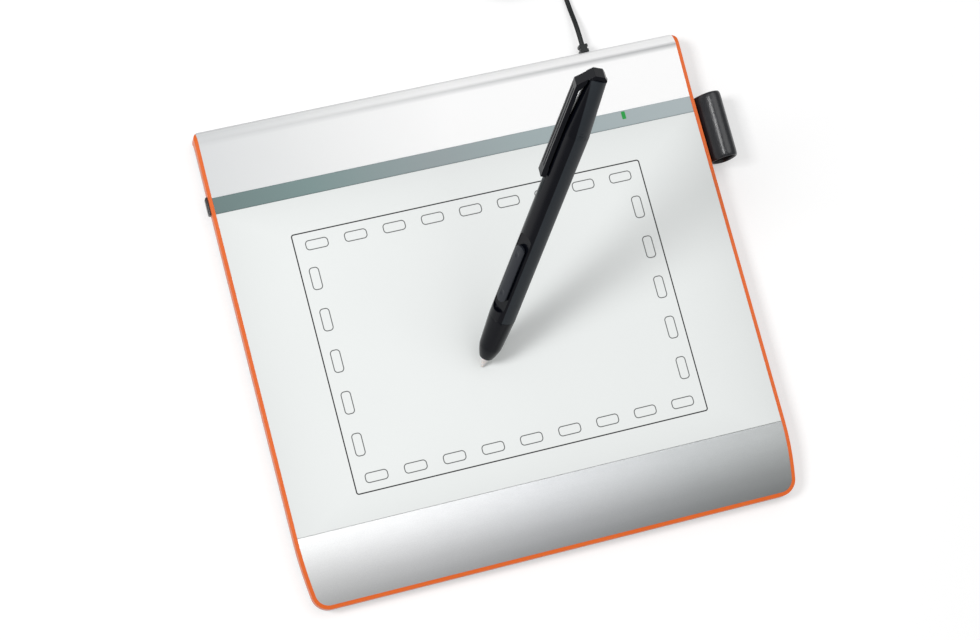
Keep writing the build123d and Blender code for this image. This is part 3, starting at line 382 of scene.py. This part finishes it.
# The lead, in millimetres: from the strain relief, through the stored coil, to its plug
tablet_x = -4.2
lead_x = 61.0
lead_diameter = 2.0
exit_y = 97.25
exit_level = 4.3
desk_level = 1.05
lead_route = [
    (lead_x, exit_y, exit_level),
    (lead_x, 104.5, exit_level),
    (lead_x - 0.2, 112.5, 1.9),
    (lead_x - 0.5, 121.0, desk_level),
    (lead_x, 131.0, desk_level),
]
coil_outer_radius = 18.8
coil_x = lead_x - coil_outer_radius
coil_y = 143.0
coil_step = 2.95
coil_climb = 2.6
coil_layers = 4
coil_half_turns = 8
coil_last_share = 0.25        # of a turn, after the last half turn
coil_points_a_turn = 16
coil_top = desk_level + coil_climb * (coil_layers - 1)
tail_y = coil_y + coil_outer_radius - coil_step / 4
plug_level = 3.95
tail_route = [
    (coil_x - 6.5, tail_y, coil_top),
    (coil_x - 15.0, tail_y - 0.6, 5.2),
    (coil_x - 24.0, tail_y - 1.8, desk_level),
    (coil_x - 33.0, tail_y - 2.2, desk_level),
    (coil_x - 41.5, tail_y - 3.0, plug_level),
    (coil_x - 47.0, tail_y - 3.0, plug_level),
]


def coil_stations():
    """Radius and level of the coil after each half turn: in and out again, four layers high."""
    stations = []
    for layer in range(coil_layers):
        for step in range(coil_half_turns + 1):
            place = step if layer % 2 == 0 else coil_half_turns - step
            stations.append((coil_outer_radius - coil_step / 2 * place, desk_level + coil_climb * layer))
    return stations


def coil_route():
    """The coil's control points, a fixed number to a turn, from its right side to its rear."""
    stations = coil_stations()
    turns = (len(stations) - 2) / 2 + coil_last_share
    points = []
    for k in range(round(turns * coil_points_a_turn)):
        turned = (k + 0.5) / coil_points_a_turn
        half, share = int(2 * turned), 2 * turned % 1
        (radius, level), (next_radius, next_level) = stations[half], stations[half + 1]
        radius += (next_radius - radius) * share
        level += (next_level - level) * share
        reach = radius / cos(pi / coil_points_a_turn)
        angle = 2 * pi * turned
        points.append((coil_x + reach * cos(angle), coil_y + reach * sin(angle), level))
    return points


def lead():
    """The whole lead as a bevelled curve of one open spline."""
    curve = bpy.data.curves.new("lead", "CURVE")
    curve.dimensions = "3D"
    spline = curve.splines.new("NURBS")
    route = lead_route + coil_route() + tail_route
    spline.points.add(len(route) - 1)
    for point, (x, y, z) in zip(spline.points, route):
        point.co = ((tablet_x + x) * mm, y * mm, z * mm, 1.0)
    spline.order_u = 3
    spline.use_endpoint_u = True
    spline.resolution_u = 4
    curve.bevel_depth = lead_diameter / 2 * mm
    curve.bevel_resolution = 3
    curve.use_fill_caps = True
    obj = bpy.data.objects.new("lead", curve)
    scene.collection.objects.link(obj)
    nodes = ["cord_run", "cord_coil", "cord_tail"]
    return settle(obj, "tablet", "lead_black", nodes, finishes["lead_black"])


# Finishes that several pieces share
mould_shade = 0.06
metal_shade = 0.14
drawn_line = 3.6 * mm


def moulded(name, colour, roughness, grain=0.25 * mm, depth=0.006 * mm, **constants):
    """Moulded plastic: spark-eroded grain, a slightly uneven gloss and faint colour variation."""
    finish = Finish(name)
    fine = finish.noise(grain, detail=3.0, roughness=0.6)
    broad = finish.noise(18 * mm)
    shaded = finish.tint(broad, scaled(colour, 1 - mould_shade), scaled(colour, 1 + mould_shade))
    return finish.skin(shaded, fine.swing(0.1) + broad.swing(0.08) + roughness, finish.bump(fine, depth),
                       **constants)


def drawn_metal(name, colour, roughness, direction=(1, 30, 30)):
    """Rolled or drawn metal with fine lines along one direction."""
    finish = Finish(name)
    lines = finish.noise(drawn_line, detail=3.0, roughness=0.65, stretch=direction)
    dust = finish.noise(6 * mm)
    shaded = finish.tint(lines, scaled(colour, 1 - metal_shade), colour)
    return finish.skin(shaded, lines.swing(0.18) + dust.swing(0.1) + roughness,
                       finish.bump(lines, depth=0.004 * mm), Metallic=1.0)


# Drawing on a surface
line_blur = 0.08 * mm
cover_width = 193.0 * mm


def gap_to_rounded(x, y, half_x, half_y, corner):
    """The signed distance to a rounded rectangle's outline, negative inside."""
    over_x = abs(x) - (half_x - corner)
    over_y = abs(y) - (half_y - corner)
    outside = (over_x.most(0.0) ** 2.0 + over_y.most(0.0) ** 2.0).root()
    return outside + over_x.most(over_y).least(0.0) - corner


def pen_line(distance, width):
    """1 on a drawn line, 0 away from it."""
    return (1 - (abs(distance) - width / 2) / line_blur).held()


def nearest(place, pitch, half_count):
    """The distance from the nearest of a row of places around nought."""
    return place - round(place / pitch).held(-half_count, half_count) * pitch


def from_left(x):
    """0 at the covers' left edge, 1 at their right edge."""
    return ((x - tablet_x * mm) / cover_width + 0.5).held()


# The writing sheet's print: a frame, and a row of empty key cells inside each of its sides
area_width = 139.7 * mm
area_depth = 101.6 * mm
area_x = (tablet_x - 0.8) * mm
area_y = -4.4 * mm
area_corner = 0.9 * mm
frame_line_width = 0.4 * mm
cell_line_width = 0.3 * mm
cell_inset = 5.15 * mm
cell_length = 8.6 * mm
cell_width = 3.6 * mm
cell_corner = 1.3 * mm
row_pitch = 15.25 * mm
row_half_count = 4.0
column_pitch = 16.3 * mm
column_half_count = 2.0
sheet_half_width = 97.0 * mm
sheet_half_depth = 66.0 * mm
edge_fade = 6.0
edge_share = 0.7
cloud_share = 0.15


def sheet_finish():
    """Matt writing sheet with its print, a little darker towards its edges."""
    finish = Finish("sheet_white")
    x, y, _ = finish.xyz()
    x, y = x - area_x, y - area_y
    frame_gap = gap_to_rounded(x, y, area_width / 2, area_depth / 2, area_corner)
    row_x = nearest(x, row_pitch, row_half_count)
    row_y = abs(y) - (area_depth / 2 - cell_inset)
    column_y = nearest(y, column_pitch, column_half_count)
    column_x = abs(x) - (area_width / 2 - cell_inset)
    row_gap = gap_to_rounded(row_x, row_y, cell_length / 2, cell_width / 2, cell_corner)
    column_gap = gap_to_rounded(column_x, column_y, cell_width / 2, cell_length / 2, cell_corner)
    frame_line = pen_line(frame_gap, frame_line_width)
    cell_line = pen_line(row_gap.least(column_gap), cell_line_width)
    edge_x = (abs(x) / sheet_half_width).held() ** edge_fade
    edge_y = (abs(y) / sheet_half_depth).held() ** edge_fade
    tooth = finish.noise(0.16 * mm, detail=2.0, roughness=0.6)
    cloud = finish.noise(30 * mm)
    dark = edge_x.most(edge_y) * edge_share + cloud * cloud_share
    paper = finish.tint(dark, rgb(242, 245, 244), rgb(226, 229, 228))
    printed = finish.tint(frame_line, finish.tint(cell_line, paper, rgb(98, 100, 100)), rgb(20, 20, 22))
    return finish.skin(printed, tooth.swing(0.16) + 0.52, finish.bump(tooth, depth=0.004 * mm),
                       Specular_IOR_Level=0.35)


# Places on the strip, the rear cover and the palm rest where their painted light and shade change
lamp_x = (tablet_x + 68.2) * mm
lamp_y = 65.0 * mm
lamp_half_width = 0.8 * mm
lamp_half_depth = 1.55 * mm
lamp_corner = 0.3 * mm
lamp_blur = 0.25 * mm
strip_front = 60.5 * mm
strip_edge = 0.5 * mm
roll_start = 85.0 * mm
roll_width = 8.7 * mm
brink_start = 92.2 * mm
brink_width = 1.5 * mm
palm_rear = -66.0 * mm
palm_depth = 28.0 * mm


def strip_finish():
    """Tinted glossy strip with painted light, darker to the left, a painted shade along its front edge,
    and the lamp's green window near its right end.
    """
    finish = Finish("strip_grey")
    x, y, _ = finish.xyz()
    # Painted light: the tint ramps from dark at the left to light at the right, standing in for the
    # lamps' reflection
    strip = finish.ramp(from_left(x), (0.0, rgb(103, 124, 123)), (0.2, rgb(119, 142, 141)),
                        (0.45, rgb(146, 157, 159)), (0.65, rgb(156, 170, 172)), (1.0, rgb(172, 183, 186)))
    # Painted shade: darker along the front edge, where the strip meets the sheet
    front_edge_painted_shade = (1 - (y - strip_front) / strip_edge).held()
    body = finish.tint(front_edge_painted_shade * 0.6, strip, rgb(84, 96, 96))
    lamp_gap = gap_to_rounded(x - lamp_x, y - lamp_y, lamp_half_width, lamp_half_depth, lamp_corner)
    window = (0.5 - lamp_gap / lamp_blur).held()
    dust = finish.noise(3 * mm, detail=3.0)
    return finish.skin(finish.tint(window, body, rgb(4, 140, 52)), dust * 0.05 + 0.14,
                       finish.bump(dust, depth=0.003 * mm), Specular_IOR_Level=0.25,
                       Emission_Color=finish.tint(window, grey(0.0), rgb(0, 110, 40)),
                       Emission_Strength=0.3)


def cover_finish():
    """Satin white cover plate with a pearl depth, with painted light darker to the left, and a painted
    shade band and painted dark line where it rolls over the rear edge.
    """
    finish = Finish("cover_white")
    x, y, _ = finish.xyz()
    share = from_left(x)
    pearl = finish.noise(0.12 * mm, detail=2.0, roughness=0.7)
    cloud = finish.noise(40 * mm, detail=1.0)
    # Painted light: light grey at the left, white at the right
    white = finish.ramp(share + cloud.swing(0.06), (0.0, rgb(214, 216, 217)), (0.25, rgb(234, 235, 235)),
                        (0.5, rgb(251, 251, 251)), (1.0, rgb(254, 254, 254)))
    # Painted shade: a grey band where the plate starts to roll over the rear edge, stronger to the right
    roll_painted_shade = finish.ramp((y - roll_start) / roll_width, (0.0, grey(0.0)), (0.2, grey(0.03)),
                       (0.42, grey(1.0)), (0.56, grey(0.1)), (1.0, grey(0.0)))
    # Painted shade: a dark line along the rear edge, stronger to the left
    brink_painted_shade = ((y - brink_start) / brink_width).held() * (1 - share * 0.5)
    shade = (finish.xyz(roll_painted_shade)[0] * (share * 0.8 + 0.2)).most(brink_painted_shade)
    return finish.skin(finish.tint(shade * 0.95, white, rgb(168, 169, 171)), pearl.swing(0.08) + 0.3,
                       finish.bump(pearl, depth=0.0025 * mm), Specular_IOR_Level=0.35, Coat_Weight=0.25,
                       Coat_Roughness=0.12)


def palm_finish():
    """Silver paint: fine flakes under a satin lacquer, with painted light and shade, darker to the right
    and down the front.
    """
    finish = Finish("palm_silver")
    x, y, _ = finish.xyz()
    sparkle = finish.xyz(finish.cells(0.14 * mm, output="Color"))[0]
    pull = finish.noise(5 * mm, detail=3.0, roughness=0.6, stretch=(1, 14, 14))
    cloud = finish.noise(60 * mm, detail=1.0)
    # Painted light: the silver is bright at the left and darker grey at the right
    silver_painted_light = finish.ramp(from_left(x), (0.0, rgb(248, 249, 249)), (0.2, rgb(238, 239, 240)),
                         (0.5, rgb(210, 212, 214)), (0.8, rgb(182, 185, 186)), (1.0, rgb(169, 172, 172)))
    # Painted shade: darker down the front, where the palm rest curves away
    front = ((palm_rear - y) / palm_depth).held()
    silver_painted_light_and_shade = finish.tint(front * front * 0.34 + 0.02, silver_painted_light, rgb(96, 98, 99))
    paint = finish.tint((sparkle * 0.5 + pull * 0.3 + cloud * 0.2) * 0.18, silver_painted_light_and_shade, rgb(110, 111, 113))
    return finish.skin(paint, sparkle.swing(0.12) + pull.swing(0.08) + 0.36,
                       finish.bump(sparkle, depth=0.002 * mm), Metallic=0.82, Coat_Weight=0.25,
                       Coat_Roughness=0.2)


def band_finish():
    """Orange satin band, moulded in colour."""
    finish = Finish("band_orange")
    fine = finish.noise(0.3 * mm, detail=3.0, roughness=0.6)
    broad = finish.noise(25 * mm)
    orange = finish.tint(broad, rgb(228, 103, 42), rgb(236, 114, 50))
    return finish.skin(orange, fine.swing(0.1) + 0.34, finish.bump(fine, depth=0.004 * mm),
                       Subsurface_Weight=0.06, Subsurface_Radius=(0.0012, 0.0005, 0.0002),
                       Specular_IOR_Level=0.2)


def leather_finish():
    """Glossy coated leather: pebbled grain and fine creases, lighter on its ridges."""
    finish = Finish("loop_leather")
    pebble = finish.cells(0.75 * mm, jitter=0.9)
    crease = finish.noise(1.6 * mm, detail=4.0, roughness=0.6, stretch=(1, 0.45, 1))
    broad = finish.noise(9 * mm)
    relief = pebble * 0.6 + crease * 0.6
    black = finish.tint(crease, rgb(12, 13, 16), rgb(34, 37, 43))
    return finish.skin(black, crease.swing(0.2) + broad.swing(0.16) + 0.34,
                       finish.bump(relief, depth=0.07 * mm), Coat_Weight=0.3, Coat_Roughness=0.2)


track_pitch = 2.2 * mm
track_slope = 6.0
track_level = 5.2


def track(place):
    """1 along a row of copper tracks, 0 between them."""
    wave = abs(((place / track_pitch) * pi).sine())
    return (wave * track_slope - track_level).held()


def board_finish():
    """Green solder mask over fine copper tracks."""
    finish = Finish("board_green")
    x, y, _ = finish.xyz()
    tracks = track(x).most(track(y))
    weave = finish.noise(0.8 * mm)
    mask = finish.tint(tracks * 0.6 + weave * 0.15, rgb(18, 84, 48), rgb(44, 122, 70))
    return finish.skin(mask, weave * 0.1 + 0.26, finish.bump(tracks, depth=0.02 * mm), Coat_Weight=0.3)


worn_from = 9.2 * mm
worn_height = 1.2 * mm


def nib_finish():
    """Hard white nib, a little translucent and worn grey at the point."""
    finish = Finish("nib_white")
    fine = finish.noise(0.3 * mm)
    level = finish.xyz()[2]
    worn = (1 - (level - worn_from) / worn_height).held()
    white = finish.tint(worn * 0.6 + fine * 0.1, rgb(232, 226, 222), rgb(176, 170, 166))
    return finish.skin(white, fine * 0.1 + 0.34, finish.bump(fine, depth=0.003 * mm),
                       Subsurface_Weight=0.3, Subsurface_Radius=(0.001, 0.0008, 0.0006))


def handled_black(finish):
    """The pen's black with faint handling marks: its grain, its rubbed places and its colour."""
    fine = finish.noise(0.2 * mm, detail=3.0, roughness=0.6)
    rubbed = finish.noise(14 * mm, detail=4.0, roughness=0.6)
    return fine, rubbed, finish.tint(rubbed, rgb(5, 6, 12), rgb(11, 13, 21))


def pen_finish():
    """Glossy black pen plastic."""
    finish = Finish("pen_black")
    fine, rubbed, black = handled_black(finish)
    return finish.skin(black, fine.swing(0.06) + rubbed.swing(0.12) + 0.22,
                       finish.bump(fine, depth=0.003 * mm), Specular_IOR_Level=0.18)


# The barrel's painted reflection meets its glossy black on a plane beside the pen's axis, which starts at
# its foot
pen_foot = (-16.5 * mm, -19.0 * mm, 9.36 * mm)
rocker_way = (-0.888, -0.12, 0.444)
painted_reflection_edge = 3.5 * mm
painted_reflection_blur = 0.2 * mm


def barrel_painted_reflection_finish():
    """The barrel: glossy black on the rocker's side, and a painted reflection in satin dark grey on the
    other.
    """
    finish = Finish("pen_black_painted_reflection")
    fine, rubbed, black = handled_black(finish)
    from_foot = finish.node("ShaderNodeVectorMath", {"operation": "SUBTRACT"},
                            {0: finish.place, 1: pen_foot})
    out = finish.node("ShaderNodeVectorMath", {"operation": "DOT_PRODUCT"},
                      {0: from_foot, 1: rocker_way}, "Value")
    # Painted reflection: 1 on the side away from the rocker, where the barrel is tinted dark grey
    satin = ((painted_reflection_edge - out) / painted_reflection_blur + 0.5).held()
    painted_reflection_grey = finish.tint(rubbed, rgb(38, 43, 48), rgb(48, 53, 58))
    return finish.skin(finish.tint(satin, black, painted_reflection_grey),
                       satin * 0.2 + fine.swing(0.06) + rubbed.swing(0.12) + 0.2,
                       finish.bump(fine, depth=0.003 * mm), Specular_IOR_Level=0.22)


def lead_finish():
    """Black sheath of the lead."""
    finish = Finish("lead_black")
    fine = finish.noise(0.35 * mm, detail=3.0, roughness=0.6)
    broad = finish.noise(12 * mm)
    black = finish.tint(broad, rgb(22, 26, 26), rgb(34, 39, 39))
    return finish.skin(black, fine.swing(0.12) + 0.42, finish.bump(fine, depth=0.008 * mm),
                       Specular_IOR_Level=0.3)


# Every finish by the name of its slot, and the barrel's own with its painted reflection
finishes = {
    "base_plastic": moulded("base_plastic", rgb(204, 206, 207), 0.52, grain=0.5 * mm, depth=0.02 * mm),
    "band_orange": band_finish(),
    "cover_white": cover_finish(),
    "palm_silver": palm_finish(),
    "carrier_white": moulded("carrier_white", rgb(222, 224, 224), 0.5),
    "sheet_white": sheet_finish(),
    "strip_grey": strip_finish(),
    "board_green": board_finish(),
    "film_clear": moulded("film_amber", rgb(196, 158, 92), 0.22, grain=2 * mm, depth=0.004 * mm),
    "shield_steel": drawn_metal("shield_steel", rgb(176, 178, 182), 0.36),
    "chip_black": moulded("chip_black", rgb(34, 34, 36), 0.46, grain=0.2 * mm),
    "crystal_can": drawn_metal("crystal_can", rgb(205, 205, 208), 0.2),
    "connector_cream": moulded("connector_cream", rgb(226, 220, 198), 0.44),
    "led_green": moulded("led_green", rgb(36, 150, 84), 0.16, Emission_Color=rgb(20, 170, 80),
                         Emission_Strength=0.5),
    "screw_steel": drawn_metal("screw_steel", rgb(128, 128, 131), 0.32, direction=(30, 30, 1)),
    "foot_rubber": moulded("foot_rubber", rgb(42, 42, 43), 0.78, grain=0.5 * mm, depth=0.02 * mm),
    "lead_black": lead_finish(),
    "plug_black": moulded("plug_black", rgb(44, 48, 49), 0.46, grain=0.4 * mm, depth=0.015 * mm),
    "usb_steel": drawn_metal("usb_steel", rgb(214, 214, 218), 0.2),
    "usb_insulator": moulded("usb_insulator", rgb(232, 232, 228), 0.4),
    "contact_gold": drawn_metal("contact_gold", rgb(216, 176, 92), 0.24),
    "loop_leather": leather_finish(),
    "trim_black": moulded("trim_black", rgb(36, 38, 40), 0.36),
    "pen_black": pen_finish(),
    "pen_black_painted_reflection": barrel_painted_reflection_finish(),
    "rocker_black": moulded("rocker_black", rgb(38, 41, 48), 0.3, grain=0.3 * mm, depth=0.003 * mm,
                            Specular_IOR_Level=0.3),
    "nib_white": nib_finish(),
    "ferrite": moulded("ferrite", rgb(58, 58, 62), 0.5, grain=0.1 * mm, depth=0.01 * mm),
    "winding_copper": drawn_metal("winding_copper", rgb(190, 110, 66), 0.28, direction=(20, 20, 2)),
    "sensor_grey": moulded("sensor_grey", rgb(104, 106, 108), 0.44),
    "tact_steel": drawn_metal("tact_steel", rgb(186, 186, 190), 0.28),
    "battery_shell": drawn_metal("battery_shell", rgb(146, 150, 156), 0.26, direction=(2, 2, 30)),
}
for obj in frame["nodes"].values():
    obj.data.materials[0] = finishes[obj.data.materials[0].name]

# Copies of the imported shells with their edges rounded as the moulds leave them:
# node, name of the piece, slot and the width of its rounded edges in millimetres
shells = [
    ("side_band", "orange_band", "band_orange", 0.3),
    ("rear_cover", "rear_plate", "cover_white", 0.2),
    ("palm_rest", "palm_plate", "palm_silver", 0.2),
    ("base_cover", "under_tray", "base_plastic", 0.2),
    ("surface_sheet", "writing_sheet", "sheet_white", 0.12),
    ("lens_strip", "tinted_strip", "strip_grey", 0.12),
    ("slot_plug", "side_slot_plug", "trim_black", 0.12),
    ("strain_relief", "lead_bush", "lead_black", 0.25),
    ("rubber_feet", "round_feet", "foot_rubber", 0.3),
    ("case_screws", "tray_screws", "screw_steel", 0.15),
    ("usb_shell", "plug_shell", "usb_steel", 0.06),
    ("usb_body", "plug_body", "plug_black", 0.25),
    ("nose_cone", "grip_nose", "pen_black", 0.15),
    ("pen_barrel", "barrel", "pen_black", 0.15),
    ("battery_cap", "end_cap", "pen_black", 0.15),
    ("pen_clip", "clip", "pen_black", 0.35),
    ("rocker_switch", "rocker", "rocker_black", 0.2),
    ("nib", "nib_point", "nib_white", 0.0),
]
# Pieces that take the barrel's painted reflection
painted_reflection_pieces = ("barrel", "end_cap")
flats_kept_apart = ("plug_body",)
made = {}
for node, name, slot, edge in shells:
    finish = finishes["pen_black_painted_reflection" if name in painted_reflection_pieces else slot]
    made[name] = dressed(node, name, slot, finish, edge * mm, name not in flats_kept_apart)

# Pen loop, in millimetres: a sleeve of coated leather whose neck runs into the side slot
loop_y = 52.9
loop_length = 27.0
loop_wall = 1.2
loop_side = 97.75
loop_outline = [(0.3, 7.2), (2.2, 10.6), (4.8, 13.4), (8.0, 13.6), (10.4, 12.0), (11.0, 9.0), (10.4, 5.8),
                (9.2, 2.9), (7.2, 1.2), (5.0, 1.05), (3.0, 1.4), (1.2, 2.9), (0.3, 4.4), (0.15, 5.8)]
loop_rings = 9
loop_smooth_angle = radians(60)
slot_level = 5.6
neck_out = 0.2
neck_reach = 2.6
neck_length = 18.0
neck_thickness = 1.8
neck_edge = 0.25


def loop_sleeve():
    """The sleeve: an outline drawn out along the tablet's side, and walled inward."""
    bpy.ops.object.select_all(action="DESELECT")
    bpy.ops.mesh.primitive_circle_add(vertices=len(loop_outline), radius=loop_wall * mm)
    obj = bpy.context.view_layer.objects.active
    obj.name = "leather_sleeve"
    front = loop_y - loop_length / 2
    step = loop_length / (loop_rings - 1) * mm
    with shaping(obj):
        mesh = bmesh.from_edit_mesh(obj.data)
        mesh.verts.ensure_lookup_table()
        for vert, (out, level) in zip(mesh.verts, loop_outline):
            vert.co = Vector((tablet_x + loop_side + out, front, level)) * mm
        bmesh.update_edit_mesh(obj.data)
        bpy.ops.mesh.select_all(action="SELECT")
        for _ in range(loop_rings - 1):
            bpy.ops.mesh.extrude_edges_move(TRANSFORM_OT_translate={"value": (0, step, 0)})
        bpy.ops.mesh.select_all(action="SELECT")
        bpy.ops.mesh.normals_make_consistent(inside=False)
    change(obj, "SOLIDIFY", thickness=loop_wall * mm, offset=-1.0, use_even_offset=True)
    change(obj, "SUBSURF", levels=2, render_levels=2)
    smooth(obj, loop_smooth_angle)
    return obj


def loop_neck():
    """The neck: a flat strap at the level of the slot."""
    place = Vector((tablet_x + loop_side + neck_out, loop_y, slot_level)) * mm
    size = Vector((neck_reach, neck_length, neck_thickness)) * mm
    bpy.ops.object.select_all(action="DESELECT")
    bpy.ops.mesh.primitive_cube_add(size=1, location=place, scale=size)
    obj = bpy.context.view_layer.objects.active
    bpy.ops.object.transform_apply(location=True, rotation=True, scale=True)
    ease(obj, neck_edge * mm)
    smooth(obj)
    return obj


def pen_loop():
    """The sleeve and its neck as one piece."""
    sleeve = loop_sleeve()
    neck = loop_neck()
    only(sleeve)
    neck.select_set(True)
    bpy.ops.object.join()
    return settle(sleeve, "loop", "loop_leather", ["pen_loop"], finishes["loop_leather"])


made["leather_sleeve"] = pen_loop()

# The lead; its bush and plug were made with the shells above
lead()
(tablet_x + lead_x) * mm
exit_y * mm
exit_level * mm
lead_diameter * mm
made["lead_bush"]
made["plug_body"]
made["plug_shell"]
frame["nodes"]["usb_tongue"]
frame["nodes"]["usb_contacts"]

scene.view_settings.view_transform = "Standard"
visual_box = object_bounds()
boxes = {"cad": [list(corner) for corner in cad_box], "visual": [list(corner) for corner in visual_box]}
